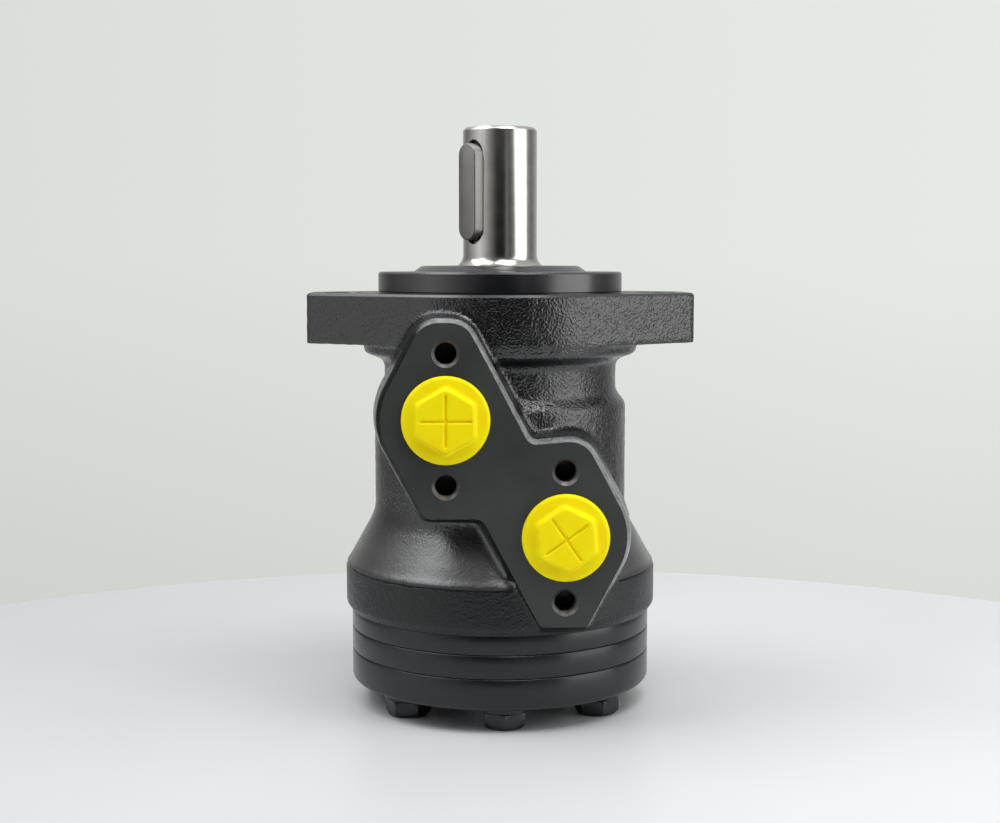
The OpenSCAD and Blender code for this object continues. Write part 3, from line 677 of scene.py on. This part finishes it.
    # which finish each face has
    c, d = centres(h)
    idx = np.zeros(len(c), np.int32)
    r = np.hypot(c[:, 0], c[:, 1])
    idx[(c[:, 2] > -0.76)] = 1
    idx[(np.abs(c[:, 1] - FACE) < 0.02) & (d[:, 1] < -0.98)] = 2
    idx[(c[:, 1] < -50.8) & (c[:, 1] > FACE + 0.02) & (c[:, 2] > -89.5)] = 4
    idx[(c[:, 1] < -52.95) & (c[:, 1] > FACE + 0.02) & (c[:, 2] <= -89.5)] = 4
    inner = (r < 26.3) & (c[:, 2] < 6.0)
    idx[inner] = 3
    idx[(r < 20.9) & (c[:, 2] >= 6.0) & (np.abs(d[:, 2]) < 0.9)] = 3
    idx[c[:, 2] < Z_HOUSE + 0.02] = 3
    for s, z in ((-1, ZA), (1, ZB)):
        idx[(np.hypot(c[:, 0] - s * PX, c[:, 2] - z) < 10.9) & (c[:, 1] > FACE + 0.02) & (c[:, 1] < -20)] = 3
        for e in (-1, 1):
            near = np.hypot(c[:, 0] - s * PX, c[:, 2] - z - e * HOLE_GAP) < 4.7
            idx[near & (c[:, 1] > FACE + 0.02) & (c[:, 1] < -30)] = 3
    idx[(np.hypot(c[:, 0], c[:, 2] - DRAIN_Z) < 7.4) & (c[:, 1] > 22)] = 3
    idx[(np.hypot(c[:, 0], c[:, 2] - DRAIN_Z) >= 7.4) & (c[:, 1] > DRAIN_Y - 0.02)] = 1
    for s in (-1, 1):
        idx[(np.hypot(c[:, 0] - s * 53.2, c[:, 1]) < 7.3) & (np.abs(d[:, 2]) < 0.9)] = 1
    set_materials(h, [M_CAST, M_SMOOTH, M_PAD, M_BORE, M_EDGE], idx)
    shade(h, 38)
    h.name = "housing_cast"
    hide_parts("housing")
    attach(h, "motor_housing")
    return h


# ------------------------------------------------------------------ rings
def rim(r, h0, h1, ct, cb):
    """Outer edge of a disc between z = h1 and h0, with rounded rims."""
    return (bez((r - ct, h1), (r - ct * 0.15, h1 - ct * 0.15), (r, h1 - ct), 3)
            + bez((r, h0 + cb), (r - cb * 0.15, h0 + cb * 0.15), (r - cb, h0), 3))


def make_rings():
    plate = lathe("plate_ring", [(0, Z_HOUSE)] + rim(RING, Z_PLATE, Z_HOUSE, 0.35, 0.5) + [(0, Z_PLATE)], 256)
    cut = holes_ring(4.25, SCREW_R, Z_PLATE - 1, Z_HOUSE + 1) + holes_ring(2.4, 31, Z_PLATE - 1, Z_HOUSE + 1, seg=24)
    cut.append(lathe("c", [(0, Z_HOUSE + 1), (17, Z_HOUSE + 1), (17, Z_PLATE - 1), (0, Z_PLATE - 1)], 96))
    cut.append(lathe("g", [(46.2, Z_PLATE - 1), (48.2, Z_PLATE - 1), (48.2, Z_PLATE + 1.3), (46.2, Z_PLATE + 1.3)], 192))
    boolean(plate, union_all(cut))

    gear = lathe("gear_ring_body", [(0, Z_PLATE)] + rim(RING, Z_GEAR, Z_PLATE, 0.5, 0.5) + [(0, Z_GEAR)], 256)
    cut = [lathe("c", [(0, Z_PLATE + 1), (34.15, Z_PLATE + 1), (34.15, Z_GEAR - 1), (0, Z_GEAR - 1)], 192)]
    cut += holes_ring(6.04, 34.4, Z_GEAR - 1, Z_PLATE + 1, a0=A_ROLLER, seg=64)
    cut += holes_ring(4.25, SCREW_R, Z_GEAR - 1, Z_PLATE + 1)
    boolean(gear, union_all(cut))

    cover = lathe("end_cover_body", [(0, Z_GEAR)] + rim(RING, Z_COVER, Z_GEAR, 0.5, 1.5) + [(0, Z_COVER)], 256)
    cut = holes_ring(4.25, SCREW_R, Z_COVER - 1, Z_GEAR + 1)
    cut.append(lathe("c", [(0, Z_GEAR + 1), (14.6, Z_GEAR + 1), (14.6, Z_GEAR - 2.6), (0, Z_GEAR - 2.6)], 96))
    cut.append(lathe("g", [(46.2, Z_GEAR + 1), (48.2, Z_GEAR + 1), (48.2, Z_GEAR - 1.3), (46.2, Z_GEAR - 1.3)], 192))
    boolean(cover, union_all(cut))

    for ob, n in ((plate, "distributor_plate"), (gear, "gear_ring"), (cover, "end_cover")):
        c, d = centres(ob)
        r = np.hypot(c[:, 0], c[:, 1])
        idx = np.zeros(len(c), np.int32)
        idx[r < 49.5] = 1
        if n == "end_cover":
            idx[c[:, 2] < Z_COVER + 0.02] = 0
        set_materials(ob, [M_RING, M_BORE], idx)
        shade(ob, 32)
        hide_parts(n)
        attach(ob, "motor_housing")


# ------------------------------------------------------------------ shaft and key
KEY_A = -138.0


def slot_outline(length, w, n=16):
    """Round-ended outline along x."""
    e = length / 2 - w / 2
    return arc(e, 0, w / 2, -90, 90, n) + arc(-e, 0, w / 2, 90, 270, n)


def make_shaft():
    prof = [(0, 55.2), (11.3, 55.2), (11.6, 55.12), (12.35, 54.35), (12.5, 54.0), (12.5, 12.6)]
    prof += bez((12.5, 12.6), (12.7, 10.6), (14.28, 9.1), 8)[1:]
    prof += [(14.28, -12.04), (21, -12.04), (21, -15), (GROOVE, -15.5), (GROOVE, -25), (22, -25.5),
             (22, ZA + 5), (GROOVE, ZA + 5), (GROOVE, ZA - 5), (22, ZA - 5),
             (22, ZB + 5), (GROOVE, ZB + 5), (GROOVE, ZB - 5), (22, ZB - 5),
             (22, -105.9), (21.4, -106.5), (0, -106.5)]
    s = lathe("shaft_body", prof, 256)
    cut = []
    ko = slot_outline(34, 8)
    key_m = turn(KEY_A, "Z") @ at(0, 0, 33.5) @ turn(90, "Y")
    c = prism("kw", [[(x, y, 8.5) for x, y in ko], [(x, y, 12.0) for x, y in ko],
                     [(x, y, 12.6) for x, y in slot_outline(34.8, 8.8)], [(x, y, 20) for x, y in slot_outline(34.8, 8.8)]])
    cut.append(place(c, key_m))
    c = thread_cut("m8", 3.4, 4.0, 1.25, 18, 2.4, 48)
    cut.append(place(c, at(0, 0, 55.2)))
    for k in range(6):
        c = box("s", (GROOVE, -2.25, ZA - 26), (26, 2.25, ZA - 4))
        cut.append(place(c, turn(60 * k, "Z")))
        c = box("s", (GROOVE, -2.25, ZB + 4), (26, 2.25, ZB + 26))
        cut.append(place(c, turn(60 * k + 30, "Z")))
    cut.append(lathe("b", [(0, -19), (3, -19), (3, -38), (13.6, -38), (13.6, -42.3), (11.2, -42.3), (11.2, -62), (13.6, -62), (13.6, -108), (0, -108)], 72))
    for k in range(12):
        c = box("s", (8, -1.65, -62.5), (13.6, 1.65, -42))
        cut.append(place(c, turn(30 * k + A0 + STEP / 2, "Z")))
    c = lathe("x", [(0, -25), (2, -25), (2, 25), (0, 25)], 24)
    cut.append(place(c, at(0, 0, -20) @ turn(90, "Y")))
    boolean(s, union_all(cut))
    c, d = centres(s)
    r = np.hypot(c[:, 0], c[:, 1])
    idx = np.zeros(len(c), np.int32)
    idx[(r < 12.44) & (c[:, 2] < 55.0) & (np.abs(d[:, 2]) < 0.99) & (c[:, 2] > 12)] = 1
    set_materials(s, [M_SHAFT, M_BEARING], idx)
    shade(s, 30)
    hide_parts("output_shaft")
    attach(s, "shaft")

    k = prism("key_body", [[(x, y, z) for x, y in slot_outline(l, w)] for z, l, w in
                           ((8.5, 31.5, 7.5), (8.75, 32, 8), (14.95, 32, 8), (15.2, 31.86, 7.86), (15.42, 31.55, 7.55), (15.5, 31.2, 7.2))])
    place(k, key_m)
    set_materials(k, [M_KEY])
    shade(k, 40)
    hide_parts("parallel_key")
    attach(k, "shaft")


# ------------------------------------------------------------------ fasteners
def hexagon(af, n=6):
    r = af / 2 / math.cos(math.radians(30))
    return [(r * math.cos(math.radians(60 * i)), r * math.sin(math.radians(60 * i))) for i in range(n)]


def make_screws():
    heads, washers = [], []
    turns = (0, 22, 11, 41, 5, 33, 17)
    for k in range(7):
        a = A0 + k * STEP
        hx = resample(hexagon(13), 1.2)
        # head with the usual cone over its corners and a washer face
        rings = []
        for z, cap in ((-5.5, 6.15), (-5.2, 6.6), (-4.6, 7.25), (-3.9, 7.6), (-0.7, 7.6), (-0.35, 7.2), (-0.3, 6.3), (0.0, 6.25)):
            rings.append([(x * min(1, cap / math.hypot(x, y)), y * min(1, cap / math.hypot(x, y)), z) for x, y in hx])
        h = prism("h", rings)
        sh = lathe("s", [(0, 39.5), (3.2, 39.5), (4, 38.7), (4, -1), (0, -1)], 32)
        boolean(h, sh, "UNION")
        m = turn(a, "Z") @ at(SCREW_R, 0, Z_COVER - 2)
        place(h, m @ turn(turns[k], "Z"))
        heads.append(h)
        w = lathe("w", [(4.25, 0), (7.5, 0), (7.8, 0.3), (7.8, 1.7), (7.5, 2), (4.25, 2)], 64)
        place(w, m)
        washers.append(w)
    hs = join("end_screw_set", heads)
    ws = join("screw_washer_set", washers)
    for ob, n in ((hs, "end_screws"), (ws, "screw_washers")):
        set_materials(ob, [M_SCREW])
        shade(ob, 30)
        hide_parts(n)
        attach(ob, "motor_housing")


def make_plugs():
    for tag, s, z, rot in (("a", -1, ZA, 0.0), ("b", 1, ZB, -55.0)):
        rr = 13.8
        body = lathe("f", [(0, 2.3), (rr - 0.9, 2.1), (rr - 0.25, 1.75), (rr, 1.2), (rr, 0.35), (rr - 0.35, 0.0), (9.6, 0.0), (0, 0.0)], 128)
        hx = resample(hexagon(18.6), 0.8)
        rings = []
        for h, g, cap in ((-0.5, 0.0, 10.45), (1.4, 0.0, 10.45), (3.9, -0.12, 10.3), (4.6, -0.75, 9.4)):
            pts = grow(hx, g)
            rings.append([(x * min(1, cap / math.hypot(x, y)), y * min(1, cap / math.hypot(x, y)), h) for x, y in pts])
        hexa = place(prism("x", rings), turn(30, "Z"))
        th = [(0, 0.5), (8.6, 0.5), (8.6, -0.6)]
        zz = -0.9
        while zz > -8.0:
            th += [(8.55, zz), (9.2, zz - 0.75), (9.2, zz - 1.0), (8.55, zz - 1.75)]
            zz -= 1.814
        th += [(8.4, -8.6), (7.9, -9.0), (0, -9.0)]
        thread = lathe("t", th, 96)
        union_all([body, hexa, thread])
        slots = [box("c", (-8.2, -0.45, 3.7), (8.2, 0.45, 6)), box("c", (-0.45, -8.2, 3.7), (0.45, 8.2, 6))]
        boolean(body, union_all(slots))
        # hollow underneath, as a moulded plug has
        boolean(body, lathe("u", [(0, -10), (7.0, -10), (6.8, -0.8), (0, -0.8)], 64))
        remesh(body, 0.3)
        smooth(body, 0.5, 3)
        place(body, at(s * PX, FACE, z) @ turn(90, "X") @ turn(rot, "Z"))
        body.name = "closing_plug_" + tag
        set_materials(body, [M_YELLOW])
        body.data.shade_smooth()
        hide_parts("port_plug_" + tag)
        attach(body, "port_plug_" + tag)


def make_small():
    # drain plug with a hexagon socket, and its sealing washer
    p = lathe("drain_plug_body", [(0, 5.1), (7.9, 5.1), (8.5, 4.9), (9.0, 4.3), (9.0, 1.5), (8.7, 1.2), (6.0, 1.2), (5.65, 0.9), (5.65, -8.6), (5.0, -9.5), (0, -9.5)], 96)
    hx = hexagon(6.0)
    boolean(p, prism("s", [[(x, y, z) for x, y in hx] for z in (-2.5, 7)]))
    m = at(0, DRAIN_Y, DRAIN_Z) @ turn(-90, "X")
    place(p, m)
    w = lathe("drain_washer_body", [(6.8, 0), (9.2, 0), (9.4, 0.2), (9.4, 1.0), (9.2, 1.2), (6.8, 1.2)], 96)
    place(w, m)
    set_materials(p, [M_SCREW])
    set_materials(w, [M_BEARING])
    for ob, n, sl in ((p, "drain_plug", "black_steel"), (w, "drain_washer", "bearing_steel")):
        shade(ob, 30)
        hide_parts(n)
        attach(ob, "motor_housing")
    # wiper seal round the shaft: a metal case with a rubber lip
    d = lathe("wiper_seal", [(20, 4.2), (20, 8.1), (19.6, 8.4), (18.8, 8.4), (18.4, 8.1), (18.2, 7.6), (17.2, 7.2), (16.2, 7.4), (15.2, 8.3), (14.7, 8.75),
                             (14.33, 8.7), (14.33, 8.2), (15.0, 6.8), (15.4, 5.6), (16.2, 4.2)], 128)
    set_materials(d, [M_RUBBER])
    shade(d, 45)
    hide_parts("dust_seal")
    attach(d, "motor_housing")


make_housing()
make_rings()
make_shaft()
make_screws()
make_plugs()
make_small()

# inner pieces keep their CAD shape and get their own finish
INNER = {"shaft_seal": M_RUBBER, "seal_backup_ring": M_BEARING, "bearing_race": M_BEARING, "needle_cage": M_KEY,
         "thrust_needles": M_BEARING, "cardan_shaft": M_BEARING, "cardan_spacer": M_KEY, "rotor": M_BEARING,
         "o_ring_housing": M_RUBBER, "o_ring_plate": M_RUBBER, "o_ring_cover": M_RUBBER,
         "check_seat_a": M_BEARING, "check_seat_b": M_BEARING, "check_ball_a": M_BEARING, "check_ball_b": M_BEARING,
         "check_spring_a": M_KEY, "check_spring_b": M_KEY}
for k in range(1, 8):
    INNER["roller_%d" % k] = M_BEARING
for n, m in INNER.items():
    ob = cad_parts[n]
    ob.data.materials.clear()
    ob.data.materials.append(m)

# ------------------------------------------------------------------ stage
floor = lathe("turntable", [(0, Z_FOOT), (349.5, Z_FOOT), (352.2, Z_FOOT - 0.8), (353, Z_FOOT - 2.6), (353, Z_FOOT - 18), (0, Z_FOOT - 18)], 256)
place(floor, at(0, -131, 0))
m_floor, nt, b = mat("table_white")
# painted light: the floor's base colour is scaled from 0.89 on the left to 1.03 on the right, to copy how the light
# falls across the table
painted_light_scale = nt.nodes.new("ShaderNodeVectorMath")
painted_light_scale.operation = "SCALE"
sep = nt.nodes.new("ShaderNodeSeparateXYZ")
nt.links.new(coords(nt), sep.inputs["Vector"])
nt.links.new(remap(nt, sep.outputs["X"], -0.12, 0.14, 0.89, 1.03), painted_light_scale.inputs["Scale"])
nt.links.new(painted_light_scale.outputs["Vector"], b.inputs["Base Color"])
wide = noise_tex(nt, coords(nt), 9, 2, 0.5)
nt.links.new(ramp(nt, wide, [(0.3, (0.65, 0.667, 0.68)), (0.7, (0.68, 0.70, 0.712))]), painted_light_scale.inputs[0])
b.inputs["Roughness"].default_value = 0.42
b.inputs["Specular IOR Level"].default_value = 0.35
set_materials(floor, [m_floor])
shade(floor, 30)


def area(name, loc, aim, size, power, color=(1, 1, 1)):
    li = bpy.data.lights.new(name, "AREA")
    li.shape = "RECTANGLE"
    li.size, li.size_y = size
    li.energy = power
    li.color = color
    ob = bpy.data.objects.new(name, li)
    ob.location = loc
    ob.rotation_mode = "QUATERNION"
    ob.rotation_quaternion = (Vector(aim) - Vector(loc)).to_track_quat("-Z", "Y")
    scene.collection.objects.link(ob)
    return ob


def around(az, dist, z):
    """A point at an angle from the camera's side of the axis, positive to the right."""
    a = math.radians(az) + YAW
    return (dist * math.sin(a), -dist * math.cos(a), z)


area("key_right", around(70, 1.0, 0.22), (0, 0, -0.03), (0.80, 1.0), 5.4, (1.0, 0.995, 0.985))
area("top_left", around(-80, 0.62, 0.80), (0, 0, -0.03), (0.85, 0.75), 5.4, (0.97, 0.985, 1.0))
area("top_front", around(30, 0.40, 0.85), (0, 0, -0.05), (0.6, 0.5), 5.4, (1.0, 1.0, 1.0))

world = bpy.data.worlds.new("room")
scene.world = world
world.use_nodes = True
nt = world.node_tree
nt.nodes.clear()
out = nt.nodes.new("ShaderNodeOutputWorld")
tc = nt.nodes.new("ShaderNodeTexCoord")
sep = nt.nodes.new("ShaderNodeSeparateXYZ")
nt.links.new(tc.outputs["Generated"], sep.inputs["Vector"])


def wmath(op, a, b=None):
    n = nt.nodes.new("ShaderNodeMath")
    n.operation = op
    for i, v in enumerate((a, b)):
        if v is None:
            continue
        if isinstance(v, (int, float)):
            n.inputs[i].default_value = v
        else:
            nt.links.new(v, n.inputs[i])
    return n.outputs[0]


# what the object reflects: brightness by compass angle, 0 towards the camera
# and positive to the right, at the height of the horizon and higher up
azim = wmath("ARCTAN2", sep.outputs["X"], wmath("MULTIPLY", sep.outputs["Y"], -1.0))
azim = remap(nt, azim, -math.pi, math.pi, 0.0, 1.0)


def sky(stops):
    return ramp(nt, azim, [((a + 180.0) / 360.0, (v, v, v * t)) for a, v, t in stops])


low_sky = sky([(-180, 0.70, 0.97), (-154, 0.40, 0.98), (-126, 0.22, 1.0), (-94, 0.56, 1.0), (-69, 1.0, 1.0), (-47, 0.55, 1.0), (-37, 0.35, 1.0),
               (-27, 0.20, 1.0), (-15, 0.05, 1.0), (-8, 0.02, 1.05), (12, 0.02, 1.05), (17, 0.22, 1.0), (23, 0.22, 1.0), (28, 0.08, 1.0),
               (38, 0.22, 1.0), (100, 0.35, 1.0), (115, 0.22, 1.0), (132, 0.42, 1.0), (160, 0.62, 1.0), (180, 0.70, 0.97)])
high_sky = sky([(-180, 0.8, 1.0), (-120, 0.8, 1.0), (-60, 0.7, 1.0), (-20, 0.12, 1.0), (25, 0.12, 1.0), (60, 0.6, 1.0), (120, 0.7, 1.0), (180, 0.8, 1.0)])
mixr = nt.nodes.new("ShaderNodeMix")
mixr.data_type = "RGBA"
nt.links.new(remap(nt, sep.outputs["Z"], 0.35, 0.65, 0.0, 1.0), mixr.inputs[0])
nt.links.new(low_sky, mixr.inputs[6])
nt.links.new(high_sky, mixr.inputs[7])
bg_light = nt.nodes.new("ShaderNodeBackground")
nt.links.new(mixr.outputs[2], bg_light.inputs["Color"])
# what the camera sees: a pale wall, a little brighter to the right and darker low down
side = remap(nt, sep.outputs["X"], -0.3, 0.3, 0.0, 1.0)
mixs = nt.nodes.new("ShaderNodeMix")
mixs.data_type = "RGBA"
mixs.inputs[6].default_value = (0.715, 0.725, 0.69, 1)
mixs.inputs[7].default_value = (0.79, 0.82, 0.775, 1)
nt.links.new(side, mixs.inputs[0])
scl = nt.nodes.new("ShaderNodeVectorMath")
scl.operation = "SCALE"
nt.links.new(mixs.outputs[2], scl.inputs[0])
nt.links.new(remap(nt, sep.outputs["Z"], -0.20, 0.0, 0.88, 1.0), scl.inputs["Scale"])
bg_cam = nt.nodes.new("ShaderNodeBackground")
nt.links.new(scl.outputs["Vector"], bg_cam.inputs["Color"])
lp = nt.nodes.new("ShaderNodeLightPath")
mixw = nt.nodes.new("ShaderNodeMixShader")
nt.links.new(lp.outputs["Is Camera Ray"], mixw.inputs["Fac"])
nt.links.new(bg_light.outputs["Background"], mixw.inputs[1])
nt.links.new(bg_cam.outputs["Background"], mixw.inputs[2])
nt.links.new(mixw.outputs["Shader"], out.inputs["Surface"])

scene.view_settings.view_transform = "Standard"
scene.view_settings.look = "None"
